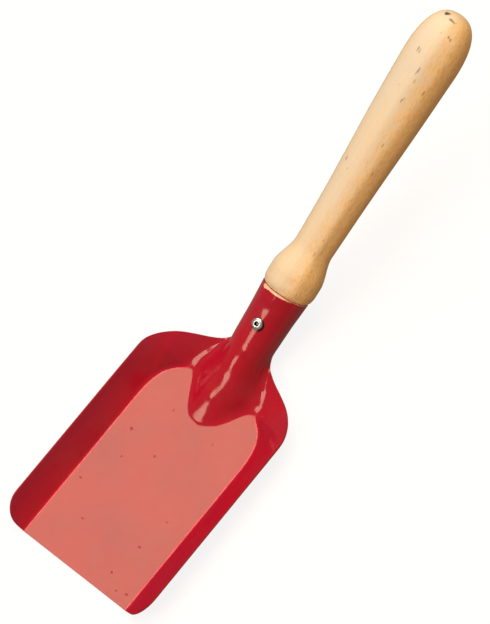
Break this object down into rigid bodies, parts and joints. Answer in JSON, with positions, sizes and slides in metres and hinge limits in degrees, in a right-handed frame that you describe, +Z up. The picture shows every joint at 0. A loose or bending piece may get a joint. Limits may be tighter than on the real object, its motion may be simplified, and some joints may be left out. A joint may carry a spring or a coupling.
{
  "type": "sand shovel",
  "caption": "Child's sand shovel: an enamelled pan pressed from one steel sheet and rolled into a socket, which holds a turned wooden handle with a blind rivet.",
  "frame": {"origin": "centre of the flat floor of the pan, in front of its rounded rear corners, on the floor's underside", "axes": "+Y from the front edge towards the handle, +X across the pan, +Z up out of the pan"},
  "size_m": [0.0762, 0.2685, 0.0857],
  "materials": {
    "red_enamel": "glossy",
    "beech": "satin",
    "rivet_aluminium": "polished",
    "mandrel_steel": "broken end, dull"
  },
  "bodies": {
    "root": {"blade": "red_enamel", "handle": "beech", "rivet_body": "rivet_aluminium", "rivet_mandrel": "mandrel_steel"}
  },
  "joints": []
}
